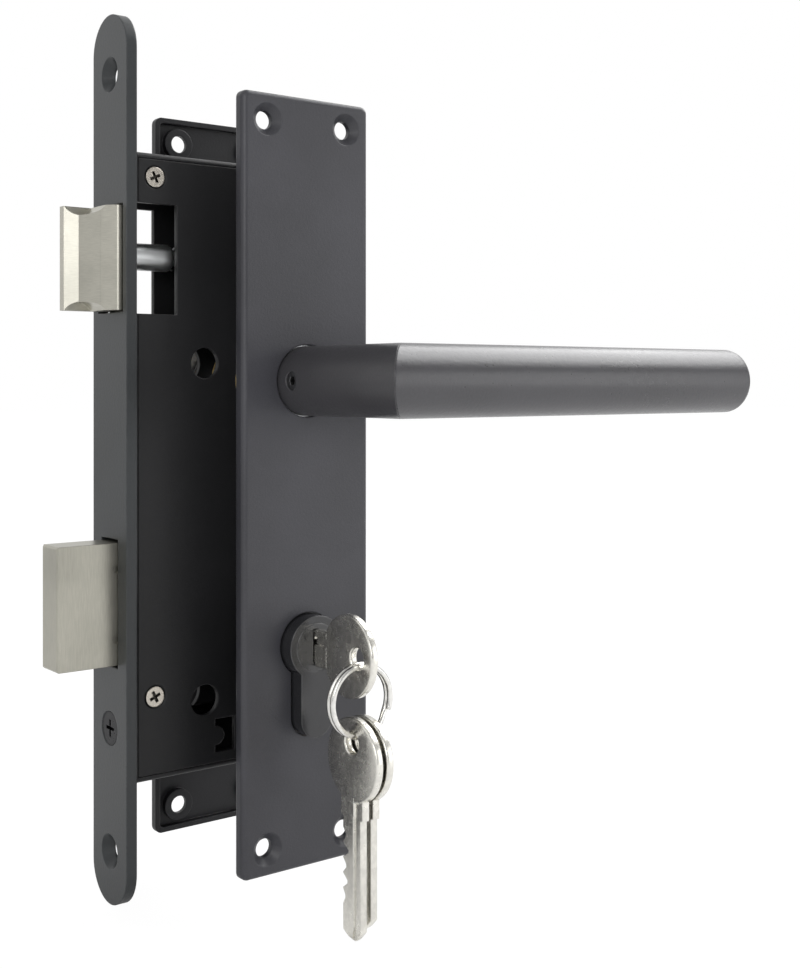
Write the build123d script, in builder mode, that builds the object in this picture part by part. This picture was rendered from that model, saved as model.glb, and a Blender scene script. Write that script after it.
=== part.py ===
from build123d import *
from math import cos, pi, radians, sin, sqrt
import os

# Cylinder mortise lock with a lever handle and a long plate on each side of the door, in mm.
# Origin: midway between the forend's fixing holes, on its outer face.
# X runs into the door, -Y is the side with the key, Z is up.
os.makedirs("parts", exist_ok=True)

# Main positions
backset = 46.0
handle_z = 22.0
centre_distance = 72.0
cylinder_z = handle_z - centre_distance
cylinder_screw_z = cylinder_z - 21.0
latch_z = 54.55
rod_z = 55.7
bolt_z = -37.2
tail_z = -28.5
slide_gap = 0.05

# Forend
forend_width = 20.0
forend_thickness = 3.0
forend_low = -118.0
forend_high = 120.0
fixing_spacing = 208.0
fixing_hole = 5.0
fixing_head = 9.5

# Case
case_front = forend_thickness
case_back = 67.0
case_low = -85.0
case_high = 83.0
case_half = 7.5
wall = 1.5
case_bend = 1.3
cover_gap = 0.2
inner_front = case_front + wall
inner_back = case_back - wall
inner_half = case_half - wall
window_back = 16.2
window_low = 39.9
window_high = 69.5
through_x = 24.75
through_z = (26.9, -65.6)
through_near = 4.25
through_far = 6.0
cutout_front = 28.0
cutout_back = 34.2
cutout_low = -80.6
cutout_high = -71.3
cutout_nose = 2.6
tab_z = (50.0, -50.0)
tab_height = 10.0
tab_depth = 0.7
pillar_x = 9.7
pillar_z = (76.6, -62.6)
pillar_radius = 3.5
tenon_radius = 1.5
screw_head = 2.75
screw_shank = 1.55
profile_gap = 0.35

# Latch
latch_height = 27.7
latch_near = -7.4
latch_far = 6.5
latch_tip = -11.3
latch_edge = 4.2
latch_rear = 4.0
latch_gap = 0.5
shoulder_x = -1.06
crest_x = -4.5
crest_y = -3.96
foot_x = -7.75
foot_y = 2.15
ridge_round = 0.8
relief_radius = 4.2
relief_depth = 2.3
relief_x = -7.25
lip_thickness = 0.95
lip_gap = 0.3
rod_radius = 3.7
rod_end = 18.1
thin_rod_radius = 2.0
lug_front = 43.4
lug_thickness = 2.5
lug_low = 36.0
lug_high = 59.7
guide_front = 38.4
guide_thickness = 2.0

# Deadbolt
bolt_height = 32.5
bolt_half = 4.75
bolt_reach = 17.0
bolt_rear = 12.0
bolt_travel = 17.0
opening_gap = 0.85
tail_front = 4.0
tail_back = 46.0
tail_height = 12.0
tail_half = 1.5
guide_pin_x = 34.0
guide_pin_radius = 2.5
stump_x = 42.5
stump_radius = 1.25
rivet_x = 8.0

# Lock lever
lever_near = -4.0
lever_far = -2.5
pivot_x = 60.0
pivot_z = -16.0
pivot_radius = 2.5
lever_spring_x = 45.0

# Follower and spindle
hub_radius = 11.0
hub_half = 5.7
journal_radius = 9.0
bush_radius = 11.5
spindle_size = 8.0
spindle_half = 48.5
arm_half = 2.5
arm_reach = 16.5
arm_tip = 2.5
arm_lean = 20.0
rear_arm_reach = 13.0
rear_arm_tip = 3.0

# Plates
plate_width = 41.0
plate_height = 210.0
plate_z = -5.65
plate_face = 26.35
plate_depth = 3.5
plate_sheet = 1.5
plate_bend = 1.5
plate_corner = 2.0
plate_hole = 5.0
plate_dimple = 9.0
plate_hole_across = 25.6
plate_hole_up = 195.5

# Handles
handle_radius = 9.5
neck_length = 42.0
lever_length = 126.0
lever_end_round = 2.0
spigot_radius = 7.5
spigot_end = 20.8
neck_base = 25.35
socket_end = 49.0
grub_y = 32.45
grub_radius = 2.45
clip_near = 22.55
clip_thickness = 0.9
clip_radius = 8.8
groove_depth = 0.5

# Cylinder
cylinder_half = 31.0
head_radius = 8.5
stem_width = 10.0
profile_height = 33.0
plug_radius = 6.5
plug_end = 5.0
plug_tail_radius = 5.0
cam_slot = 5.2
cam_radius = 15.0
cam_ring_radius = 8.2
cam_half = 4.9
cam_ring_half = 4.0
cam_rest = 30.0
keyway_half = 1.3
keyway_height = 8.6
keyway_end = 2.0
chamber_first = 10.5
chamber_pitch = 4.0
chamber_count = 5
chamber_radius = 1.45
pin_radius = 1.38
cylinder_screw_radius = 2.45

# Keys and ring
bow_radius = 11.0
bow_y = -46.3
key_thickness = 2.2
blade_height = 8.0
key_length = 44.05
spare_extra = 2.45
key_hole_offset = 4.45
key_hole_radius = 2.85
cut_depths = (1.0, 2.0, 1.4, 2.4, 1.2)
ring_radius = 9.15
ring_wire = 0.85
ring_pitch = 1.6
hang = 1.6
spare_spacing = 3.3


def coil(radius, wire, length, turns):
    """Spring standing on the XY plane: each quarter turn of its centre line is two tangent arcs."""
    rise = (length - 2 * wire) / turns

    def point(turn):
        return Vector(radius * cos(2 * pi * turn), radius * sin(2 * pi * turn), wire + rise * turn)

    def heading(turn):
        across = 2 * pi * radius
        return Vector(-across * sin(2 * pi * turn), across * cos(2 * pi * turn), rise).normalized()

    arcs = []
    for quarter in range(4 * turns):
        start = point(quarter / 4)
        end = point(quarter / 4 + 0.25)
        first = heading(quarter / 4)
        last = heading(quarter / 4 + 0.25)
        chord = end - start
        bend = 2 * (1 - first.dot(last))
        along = chord.dot(first + last)
        reach = (sqrt(along ** 2 + bend * chord.dot(chord)) - along) / bend
        corner_a = start + first * reach
        corner_b = end - last * reach
        middle = (corner_a + corner_b) * 0.5
        arcs.append(TangentArc(start, middle, tangent=first))
        arcs.append(TangentArc(middle, end, tangent=corner_b - corner_a))
    profile = Plane(origin=point(0), z_dir=heading(0)) * Circle(wire)
    return sweep(profile, path=Wire(arcs))


def profile_face(gap):
    """Section of the profile cylinder, grown by the gap, in the XZ plane of the part."""
    side = stem_width / 2 + gap
    drop = profile_height - head_radius - stem_width / 2
    head = Pos(backset, cylinder_z) * Circle(head_radius + gap)
    stem = Pos(backset, cylinder_z - drop / 2) * Rectangle(2 * side, drop)
    foot = Pos(backset, cylinder_z - drop) * Circle(side)
    return head + stem + foot


def key_blank(length):
    """Key lying in the YZ plane: bow round the origin, blade along +Y, cuts on the -Z edge."""
    half = blade_height / 2
    with BuildPart() as blank:
        with BuildSketch(Plane.YZ):
            Circle(bow_radius)
            with Locations((11.4, 0)):
                Rectangle(7.0, blade_height + 2)
            with BuildLine():
                Polyline((8, half), (length - 3, half), (length, 1.0), (length - 2, -half), (8, -half), close=True)
            make_face()
        extrude(amount=key_thickness / 2, both=True)
        chamfer(blank.edges().filter_by(GeomType.CIRCLE), length=0.3)
        with BuildSketch(Plane.YZ):
            with Locations((-key_hole_offset, 0)):
                Circle(key_hole_radius)
        extrude(amount=key_thickness, both=True, mode=Mode.SUBTRACT)
        for place, depth in enumerate(cut_depths):
            cut_y = -bow_y - chamber_first - chamber_pitch * place
            with BuildSketch(Plane.YZ):
                with BuildLine():
                    Polyline(
                        (cut_y - 1.9, -half - 0.5),
                        (cut_y - 0.4, depth - half),
                        (cut_y + 0.4, depth - half),
                        (cut_y + 1.9, -half - 0.5),
                        close=True,
                    )
                make_face()
            extrude(amount=key_thickness, both=True, mode=Mode.SUBTRACT)
        with Locations((key_thickness / 2, length / 2 + 10, 1.6), (-key_thickness / 2, length / 2 + 10, 1.6)):
            Box(0.9, length - 8, 1.5, mode=Mode.SUBTRACT)
    return blank.part


cylinder_section = profile_face(0)
cylinder_opening = profile_face(profile_gap)

# Forend
with BuildPart() as forend:
    with BuildSketch(Plane.YZ) as forend_face:
        with Locations((0, (forend_high + forend_low) / 2)):
            SlotOverall(forend_high - forend_low, forend_width, rotation=90)
        with Locations(((latch_near + latch_far) / 2, latch_z)):
            Rectangle(latch_far - latch_near + 2 * latch_gap, latch_height + 2 * latch_gap, mode=Mode.SUBTRACT)
        with Locations((0, bolt_z)):
            Rectangle(2 * bolt_half + 0.5, bolt_height + 2 * opening_gap, mode=Mode.SUBTRACT)
    extrude(amount=forend_thickness)
    forend_top = Plane(origin=(0, 0, 0), x_dir=(0, -1, 0), z_dir=(-1, 0, 0))
    with Locations(forend_top.location * Pos(0, fixing_spacing / 2), forend_top.location * Pos(0, -fixing_spacing / 2)):
        CounterSinkHole(fixing_hole / 2, fixing_head / 2)
    with Locations(forend_top.location * Pos(0, cylinder_screw_z)):
        CounterSinkHole(2.7, 4.75)
forend.part.label = "forend"
export_step(forend.part, "parts/forend.step")

# Case body: a pan with its open side to -Y
with BuildPart() as case_body:
    with Locations(((case_front + case_back) / 2, 0, (case_high + case_low) / 2)):
        Box(case_back - case_front, 2 * case_half, case_high - case_low)
    fillet(case_body.faces().sort_by(Axis.Y)[0].edges(), case_bend)
    fillet(case_body.faces().sort_by(Axis.Y)[-1].edges(), case_bend)
    with Locations(((inner_front + inner_back) / 2, -wall / 2, (case_high + case_low) / 2)):
        Box(inner_back - inner_front, 2 * case_half - wall, case_high - case_low - 2 * wall, mode=Mode.SUBTRACT)
    with Locations(((case_front + window_back) / 2, 0, (window_low + window_high) / 2)):
        Box(window_back - case_front, 2 * case_half, window_high - window_low, mode=Mode.SUBTRACT)
    with Locations((case_front, 0, bolt_z)):
        Box(4 * wall, 2 * bolt_half + 0.5, bolt_height + 2 * opening_gap, mode=Mode.SUBTRACT)
    with BuildSketch(Plane.YZ.offset(case_front)):
        with Locations((0, cylinder_screw_z)):
            Circle(2.7)
    extrude(amount=wall, mode=Mode.SUBTRACT)
    with BuildSketch(Plane.XZ.offset(-case_half)):
        add(cylinder_opening)
        with Locations((backset, handle_z)):
            Circle(bush_radius + slide_gap / 2)
        with Locations((through_x, through_z[0]), (through_x, through_z[1])):
            Circle(through_far)
        with Locations(((cutout_front + cutout_back) / 2, (cutout_low + cutout_high) / 2)):
            Rectangle(cutout_back - cutout_front, cutout_high - cutout_low)
        with Locations((pillar_x, pillar_z[0]), (pillar_x, pillar_z[1]), (guide_pin_x, tail_z), (pivot_x, pivot_z)):
            Circle(tenon_radius + slide_gap / 2)
    extrude(amount=wall, mode=Mode.SUBTRACT)
    with Locations((inner_back, wall / 2 - case_half, tab_z[0]), (inner_back, wall / 2 - case_half, tab_z[1])):
        Box(2 * tab_depth + 0.4, wall + 0.2, tab_height + 0.4, mode=Mode.SUBTRACT)
    with Locations((59, wall, -2.25)):
        Box(6, 2 * inner_half - 3, 2.5)
    with Locations((lever_spring_x, 0.35, -8)):
        Box(6, 11.3, 2.5)
case_body.part.label = "case_body"
export_step(case_body.part, "parts/case_body.step")

# Case cover, seated inside the pan's rim
with BuildPart() as case_cover:
    with BuildSketch(Plane.XZ.offset(inner_half)):
        with Locations(((inner_front + inner_back) / 2, (case_high + case_low) / 2)):
            Rectangle(inner_back - inner_front - 2 * cover_gap, case_high - case_low - 2 * wall - 2 * cover_gap)
        with Locations((inner_back, tab_z[0]), (inner_back, tab_z[1])):
            Rectangle(2 * tab_depth, tab_height)
        with Locations(((case_front + window_back) / 2, (window_low + window_high) / 2)):
            Rectangle(window_back - case_front, window_high - window_low, mode=Mode.SUBTRACT)
        add(cylinder_opening, mode=Mode.SUBTRACT)
        with Locations((backset, handle_z)):
            Circle(bush_radius + slide_gap / 2, mode=Mode.SUBTRACT)
        with Locations((through_x, through_z[0]), (through_x, through_z[1])):
            Circle(through_near, mode=Mode.SUBTRACT)
        with Locations(((cutout_front + cutout_back) / 2, (cutout_low + cutout_high) / 2)):
            Rectangle(cutout_back - cutout_front, cutout_high - cutout_low, mode=Mode.SUBTRACT)
        with Locations((cutout_front + 0.3, (cutout_low + cutout_high) / 2)):
            Circle(cutout_nose)
    extrude(amount=wall)
    cover_front = Plane(origin=(0, -case_half, 0), x_dir=(1, 0, 0), z_dir=(0, -1, 0))
    with Locations(cover_front.location * Pos(pillar_x, pillar_z[0]), cover_front.location * Pos(pillar_x, pillar_z[1])):
        CounterSinkHole(screw_shank + 0.2, screw_head + 0.5)
case_cover.part.label = "case_cover"
export_step(case_cover.part, "parts/case_cover.step")

# Case screws with cross recesses
with BuildPart() as case_screws:
    for screw_z in pillar_z:
        with BuildSketch(Plane.XZ.offset(case_half - 0.05)):
            with Locations((pillar_x, screw_z)):
                Circle(screw_head)
        extrude(amount=-1.2, taper=45)
        with BuildSketch(Plane.XZ.offset(case_half - 1.0)):
            with Locations((pillar_x, screw_z)):
                Circle(screw_shank)
        extrude(amount=-8.0)
        with BuildSketch(Plane.XZ.offset(case_half)):
            with Locations((pillar_x, screw_z)):
                Rectangle(3.2, 0.8, rotation=25)
                Rectangle(0.8, 3.2, rotation=25)
        extrude(amount=-0.9, mode=Mode.SUBTRACT)
case_screws.part.label = "case_screws"
export_step(case_screws.part, "parts/case_screws.step")

# Pillars that take the case screws, riveted to the pan
with BuildPart() as case_pillars:
    with BuildSketch(Plane.XZ.offset(-inner_half)):
        with Locations((pillar_x, pillar_z[0]), (pillar_x, pillar_z[1])):
            Circle(pillar_radius)
    extrude(amount=2 * inner_half)
    with BuildSketch(Plane.XZ.offset(-case_half + 0.1)):
        with Locations((pillar_x, pillar_z[0]), (pillar_x, pillar_z[1])):
            Circle(tenon_radius)
    extrude(amount=wall)
    with BuildSketch(Plane.XZ.offset(inner_half)):
        with Locations((pillar_x, pillar_z[0]), (pillar_x, pillar_z[1])):
            Circle(screw_shank + slide_gap)
    extrude(amount=-9.0, mode=Mode.SUBTRACT)
case_pillars.part.label = "case_pillars"
export_step(case_pillars.part, "parts/case_pillars.step")

# Guide for the latch rod
with BuildPart() as latch_guide:
    with Locations((guide_front + guide_thickness / 2, 0.2, rod_z)):
        Box(guide_thickness, 2 * inner_half - 0.4, 11)
    with BuildSketch(Plane.YZ.offset(guide_front)):
        with Locations((0, rod_z)):
            Circle(thin_rod_radius + slide_gap)
    extrude(amount=guide_thickness, mode=Mode.SUBTRACT)
latch_guide.part.label = "latch_guide"
export_step(latch_guide.part, "parts/latch_guide.step")

# Pin that guides the deadbolt's tail
with BuildPart() as bolt_guide_pin:
    with BuildSketch(Plane.XZ.offset(-inner_half)):
        with Locations((guide_pin_x, tail_z)):
            Circle(guide_pin_radius)
    extrude(amount=2 * inner_half - 0.05)
    with BuildSketch(Plane.XZ.offset(-case_half + 0.1)):
        with Locations((guide_pin_x, tail_z)):
            Circle(tenon_radius)
    extrude(amount=wall)
bolt_guide_pin.part.label = "bolt_guide_pin"
export_step(bolt_guide_pin.part, "parts/bolt_guide_pin.step")

# Stump on which the lock lever turns
with BuildPart() as lock_lever_stump:
    with BuildSketch(Plane.XZ.offset(-inner_half)):
        with Locations((pivot_x, pivot_z)):
            Circle(pivot_radius + 1.5)
    extrude(amount=inner_half - lever_far - 0.2)
    with BuildSketch(Plane.XZ.offset(-inner_half)):
        with Locations((pivot_x, pivot_z)):
            Circle(pivot_radius)
    extrude(amount=2 * inner_half - 0.1)
    with BuildSketch(Plane.XZ.offset(-case_half + 0.1)):
        with Locations((pivot_x, pivot_z)):
            Circle(tenon_radius)
    extrude(amount=wall)
lock_lever_stump.part.label = "lock_lever_stump"
export_step(lock_lever_stump.part, "parts/lock_lever_stump.step")

# Bushes in which the follower turns
with BuildPart() as follower_bushes:
    with BuildSketch(Plane.XZ.offset(inner_half), Plane.XZ.offset(-case_half)):
        with Locations((backset, handle_z)):
            Circle(bush_radius)
            Circle(journal_radius + slide_gap, mode=Mode.SUBTRACT)
    extrude(amount=wall)
follower_bushes.part.label = "follower_bushes"
export_step(follower_bushes.part, "parts/follower_bushes.step")

# Latch head: a slope of three flats with a thin full-height back, and a lip that stops behind the forend
with BuildPart() as latch_head:
    with BuildSketch(Plane.XY.offset(latch_z - latch_height / 2)):
        with BuildLine():
            Polyline(
                (latch_rear, latch_near),
                (shoulder_x, latch_near),
                (crest_x, crest_y),
                (foot_x, foot_y),
                (latch_tip, latch_edge),
                (latch_tip, latch_far),
                (latch_rear, latch_far),
                close=True,
            )
        make_face()
    extrude(amount=latch_height)
    ridges = latch_head.edges().filter_by(Axis.Z).filter_by_position(Axis.X, foot_x - 0.1, shoulder_x + 0.1)
    fillet(ridges, ridge_round)
    for side in (1, -1):
        relief_z = latch_z + side * (latch_height / 2 + relief_radius - relief_depth)
        with BuildSketch(Plane(origin=(relief_x, latch_edge, relief_z), x_dir=(1, 0, 0), z_dir=(0, -1, 0))):
            Circle(relief_radius)
        extrude(amount=latch_edge - latch_near, mode=Mode.SUBTRACT)
    lip_height = window_high - window_low - 2 * lip_gap
    with Locations((latch_rear - lip_thickness / 2, (latch_near + latch_far) / 2, (window_low + window_high) / 2)):
        Box(lip_thickness, latch_far - latch_near, lip_height)
    with BuildSketch(Plane.YZ.offset(latch_rear)):
        with Locations((0, rod_z)):
            Circle(thin_rod_radius + slide_gap)
    extrude(amount=-6, mode=Mode.SUBTRACT)
latch_head.part.label = "latch_head"
export_step(latch_head.part, "parts/latch_head.step")

# Latch rod: thick in front, thin from its rounded shoulder on
with BuildPart() as latch_tail_rod:
    with BuildSketch(Plane.YZ.offset(latch_rear)):
        with Locations((0, rod_z)):
            Circle(rod_radius)
    extrude(amount=rod_end - latch_rear)
    fillet(latch_tail_rod.edges().sort_by(Axis.X)[-1], 1.6)
    with BuildSketch(Plane.YZ.offset(latch_rear - 5.5)):
        with Locations((0, rod_z)):
            Circle(thin_rod_radius)
    extrude(amount=lug_front + lug_thickness + 0.4 - latch_rear + 5.5)
latch_tail_rod.part.label = "latch_tail_rod"
export_step(latch_tail_rod.part, "parts/latch_tail_rod.step")

# Plate on the rod that the follower's arm pulls back
with BuildPart() as latch_tail_plate:
    with Locations((lug_front + lug_thickness / 2, 0, (lug_low + lug_high) / 2)):
        Box(lug_thickness, 8, lug_high - lug_low)
    with BuildSketch(Plane.YZ.offset(lug_front)):
        with Locations((0, rod_z)):
            Circle(thin_rod_radius + slide_gap / 2)
    extrude(amount=lug_thickness, mode=Mode.SUBTRACT)
latch_tail_plate.part.label = "latch_tail_plate"
export_step(latch_tail_plate.part, "parts/latch_tail_plate.step")

# Latch spring between the rod's shoulder and the guide
latch_spring = Pos(rod_end + 0.2, 0, rod_z) * Rot(0, 90, 0) * coil(3.1, 0.35, guide_front - rod_end - 0.4, 7)
latch_spring.label = "latch_spring"
export_step(latch_spring, "parts/latch_spring.step")

# Deadbolt head with a slot for its tail
with BuildPart() as deadbolt_head:
    with Locations(((bolt_rear - bolt_reach) / 2, 0, bolt_z)):
        Box(bolt_rear + bolt_reach, 2 * bolt_half, bolt_height)
    chamfer(deadbolt_head.faces().sort_by(Axis.X)[0].edges(), 0.5)
    with Locations(((tail_front + bolt_rear) / 2, 0, tail_z)):
        Box(bolt_rear - tail_front, 2 * tail_half + 0.1, tail_height + 0.2, mode=Mode.SUBTRACT)
    with BuildSketch(Plane.XZ.offset(bolt_half)):
        with Locations((rivet_x, tail_z - 3), (rivet_x, tail_z + 3)):
            Circle(1.25)
    extrude(amount=-2 * bolt_half, mode=Mode.SUBTRACT)
    with BuildSketch(Plane.XZ.offset(bolt_half)):
        with Locations((-0.3, bolt_z - 9.4), (-0.3, bolt_z + 9.4)):
            Circle(1.0)
    extrude(amount=-0.5, mode=Mode.SUBTRACT)
deadbolt_head.part.label = "deadbolt_head"
export_step(deadbolt_head.part, "parts/deadbolt_head.step")

# Deadbolt tail with the slot that runs on the guide pin
with BuildPart() as deadbolt_tail:
    with BuildSketch(Plane.XZ.offset(-tail_half)):
        with Locations(((tail_front + tail_back) / 2 + 0.05, tail_z)):
            Rectangle(tail_back - tail_front - 0.1, tail_height)
        with Locations((guide_pin_x - bolt_travel / 2, tail_z)):
            SlotOverall(bolt_travel + 2 * guide_pin_radius + 0.3, 2 * guide_pin_radius + 0.3, mode=Mode.SUBTRACT)
        with Locations((rivet_x, tail_z - 3), (rivet_x, tail_z + 3)):
            Circle(1.25, mode=Mode.SUBTRACT)
        with Locations((stump_x, tail_z)):
            Circle(0.92, mode=Mode.SUBTRACT)
    extrude(amount=2 * tail_half)
deadbolt_tail.part.label = "deadbolt_tail"
export_step(deadbolt_tail.part, "parts/deadbolt_tail.step")

# Rivets that hold the tail in the head
with BuildPart() as deadbolt_rivets:
    with BuildSketch(Plane.XZ.offset(bolt_half - 0.05)):
        with Locations((rivet_x, tail_z - 3), (rivet_x, tail_z + 3)):
            Circle(1.22)
    extrude(amount=0.1 - 2 * bolt_half)
deadbolt_rivets.part.label = "deadbolt_rivets"
export_step(deadbolt_rivets.part, "parts/deadbolt_rivets.step")

# Stump on the tail that stands in the lock lever's window
with BuildPart() as bolt_stump:
    with BuildSketch(Plane.XZ.offset(tail_half)):
        with Locations((stump_x, tail_z)):
            Circle(stump_radius)
    extrude(amount=3.3)
    with BuildSketch(Plane.XZ.offset(-tail_half)):
        with Locations((stump_x, tail_z)):
            Circle(0.9)
    extrude(amount=2 * tail_half)
bolt_stump.part.label = "bolt_stump"
export_step(bolt_stump.part, "parts/bolt_stump.step")

# Lock lever beside the tail, lifted by the cam
with BuildPart() as lock_lever:
    with BuildSketch(Plane.XZ.offset(-lever_far)):
        with Locations((51.75, -27.4)):
            RectangleRounded(26.3, 13.8, 1.5)
        with Locations((pivot_x, -18.5)):
            Rectangle(9, 5)
        with Locations((pivot_x, pivot_z)):
            Circle(4.5)
            Circle(pivot_radius + slide_gap, mode=Mode.SUBTRACT)
        with Locations((51.75, -29.55)):
            Rectangle(21.5, 6.1, mode=Mode.SUBTRACT)
    extrude(amount=lever_far - lever_near)
    with Locations((lever_spring_x, -3.2, -20)):
        Box(5, 4, 1)
lock_lever.part.label = "lock_lever"
export_step(lock_lever.part, "parts/lock_lever.step")

lock_lever_spring = Pos(lever_spring_x, -3.2, -19.4) * coil(1.5, 0.25, 10.05, 6)
lock_lever_spring.label = "lock_lever_spring"
export_step(lock_lever_spring, "parts/lock_lever_spring.step")

# Follower with an arm up to the latch and an arm back to its spring
lean = radians(arm_lean)
arm_x = -arm_reach * sin(lean)
arm_z = arm_reach * cos(lean)
with BuildPart() as follower:
    with BuildSketch(Plane.XZ.offset(-hub_half)):
        with Locations((backset, handle_z)):
            Circle(hub_radius)
    extrude(amount=2 * hub_half)
    with BuildSketch(Plane.XZ.offset(-case_half + 0.1)):
        with Locations((backset, handle_z)):
            Circle(journal_radius)
    extrude(amount=2 * case_half - 0.2)
    with BuildSketch(Plane.XZ.offset(-arm_half)):
        with Locations((backset + arm_x / 2, handle_z + arm_z / 2)):
            Rectangle(3.6, arm_reach, rotation=arm_lean)
        with Locations((backset + arm_x, handle_z + arm_z)):
            Circle(arm_tip)
        with Locations((backset + rear_arm_reach / 2, handle_z)):
            Rectangle(rear_arm_reach, 4.4)
        with Locations((backset + rear_arm_reach, handle_z)):
            Circle(rear_arm_tip)
    extrude(amount=2 * arm_half)
    with Locations((backset, 0, handle_z)):
        Box(spindle_size + 2 * slide_gap, 20, spindle_size + 2 * slide_gap, mode=Mode.SUBTRACT)
follower.part.label = "follower"
export_step(follower.part, "parts/follower.step")

follower_spring = Pos(backset + rear_arm_reach, 0, -0.9) * coil(2.6, 0.4, 19.7, 8)
follower_spring.label = "follower_spring"
export_step(follower_spring, "parts/follower_spring.step")

# Spindle through both handles and the follower
with BuildPart() as spindle:
    with Locations((backset, 0, handle_z)):
        Box(spindle_size, 2 * spindle_half, spindle_size)
spindle.part.label = "spindle"
export_step(spindle.part, "parts/spindle.step")

# Plate: a shallow pan with four countersunk dimples
with BuildPart() as front_plate:
    with BuildSketch(Plane.XZ.offset(plate_face - plate_depth)):
        with Locations((backset, plate_z)):
            RectangleRounded(plate_width, plate_height, plate_corner)
    extrude(amount=plate_depth)
    fillet(front_plate.faces().sort_by(Axis.Y)[0].edges(), plate_bend)
    with BuildSketch(Plane.XZ.offset(plate_face - plate_depth)):
        with Locations((backset, plate_z)):
            RectangleRounded(plate_width - 2 * plate_sheet, plate_height - 2 * plate_sheet, plate_corner / 2)
    extrude(amount=plate_depth - plate_sheet, mode=Mode.SUBTRACT)
    with BuildSketch(Plane.XZ.offset(plate_face - plate_depth)):
        with Locations((backset, plate_z)):
            with GridLocations(plate_hole_across, plate_hole_up, 2, 2):
                Circle(plate_dimple / 2)
    extrude(amount=plate_depth - plate_sheet / 2)
    with BuildSketch(Plane.XZ.offset(plate_face - plate_depth)):
        with Locations((backset, plate_z)):
            with GridLocations(plate_hole_across, plate_hole_up, 2, 2):
                Circle(plate_hole / 2)
        with Locations((backset, handle_z)):
            Circle(handle_radius + 0.4)
        add(cylinder_opening)
    extrude(amount=plate_depth, mode=Mode.SUBTRACT)
    with BuildSketch(Plane.XZ.offset(plate_face)):
        with Locations((backset, plate_z)):
            with GridLocations(plate_hole_across, plate_hole_up, 2, 2):
                Circle(plate_dimple / 2)
    extrude(amount=-2.0, taper=45, mode=Mode.SUBTRACT)
front_plate.part.label = "front_plate"
export_step(front_plate.part, "parts/front_plate.step")

# Bush behind the plate that carries the handle
with BuildPart() as front_plate_bush:
    with BuildSketch(Plane.XZ.offset(plate_face - plate_depth)):
        with Locations((backset, handle_z)):
            Circle(12.5)
            Circle(spigot_radius + slide_gap, mode=Mode.SUBTRACT)
    extrude(amount=plate_depth - plate_sheet)
front_plate_bush.part.label = "front_plate_bush"
export_step(front_plate_bush.part, "parts/front_plate_bush.step")

# Handle neck, cut at 45 degrees where the lever joins it
lever_y = plate_face + neck_length
mitre = Plane(origin=(backset, -lever_y, handle_z), z_dir=(-1, 1, 0))
with BuildPart() as front_neck:
    with BuildSketch(Plane.XZ.offset(neck_base)):
        with Locations((backset, handle_z)):
            Circle(handle_radius)
    extrude(amount=lever_y + handle_radius - neck_base)
    split(bisect_by=mitre, keep=Keep.TOP)
    with BuildSketch(Plane.XZ.offset(spigot_end)):
        with Locations((backset, handle_z)):
            Circle(spigot_radius)
    extrude(amount=neck_base - spigot_end)
    with BuildSketch(Plane.XZ.offset(clip_near - clip_thickness - 0.05)):
        with Locations((backset, handle_z)):
            Circle(spigot_radius + 1)
            Circle(spigot_radius - groove_depth, mode=Mode.SUBTRACT)
    extrude(amount=clip_thickness + 0.1, mode=Mode.SUBTRACT)
    with Locations((backset, -(spigot_end + socket_end) / 2, handle_z)):
        Box(spindle_size + 0.1, socket_end - spigot_end, spindle_size + 0.1, mode=Mode.SUBTRACT)
    with BuildSketch(Plane.YZ.offset(backset - handle_radius)):
        with Locations((-grub_y, handle_z)):
            Circle(grub_radius + 0.03)
    extrude(amount=handle_radius - spindle_size / 2, mode=Mode.SUBTRACT)
front_neck.part.label = "front_neck"
export_step(front_neck.part, "parts/front_neck.step")

# Lever with a flat, softly rounded end
with BuildPart() as front_lever:
    with BuildSketch(Plane.YZ.offset(backset - handle_radius)):
        with Locations((-lever_y, handle_z)):
            Circle(handle_radius)
    extrude(amount=lever_length + handle_radius)
    fillet(front_lever.faces().sort_by(Axis.X)[-1].edges(), lever_end_round)
    split(bisect_by=mitre, keep=Keep.BOTTOM)
front_lever.part.label = "front_lever"
export_step(front_lever.part, "parts/front_lever.step")

# Grub screw that clamps the neck on the spindle
with BuildPart() as front_grub_screw:
    with BuildSketch(Plane.YZ.offset(backset - handle_radius + 0.5)):
        with Locations((-grub_y, handle_z)):
            Circle(grub_radius)
    extrude(amount=handle_radius - spindle_size / 2 - 0.55)
    with BuildSketch(Plane.YZ.offset(backset - handle_radius + 0.5)):
        with Locations((-grub_y, handle_z)):
            RegularPolygon(1.3, 6)
    extrude(amount=2.2, mode=Mode.SUBTRACT)
front_grub_screw.part.label = "front_grub_screw"
export_step(front_grub_screw.part, "parts/front_grub_screw.step")

# Circlip that keeps the handle in the bush
with BuildPart() as front_circlip:
    with BuildSketch(Plane.XZ.offset(clip_near - clip_thickness)):
        with Locations((backset, handle_z)):
            Circle(clip_radius)
            Circle(spigot_radius - groove_depth + 0.03, mode=Mode.SUBTRACT)
        with Locations((backset, handle_z - clip_radius)):
            Rectangle(4, 6, mode=Mode.SUBTRACT)
    extrude(amount=clip_thickness)
front_circlip.part.label = "front_circlip"
export_step(front_circlip.part, "parts/front_circlip.step")

# The rear plate and handle mirror the front ones
for front in (front_plate, front_plate_bush, front_neck, front_lever, front_grub_screw, front_circlip):
    rear = mirror(front.part, about=Plane.XZ)
    rear.label = front.part.label.replace("front", "rear")
    export_step(rear, "parts/" + rear.label + ".step")

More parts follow.
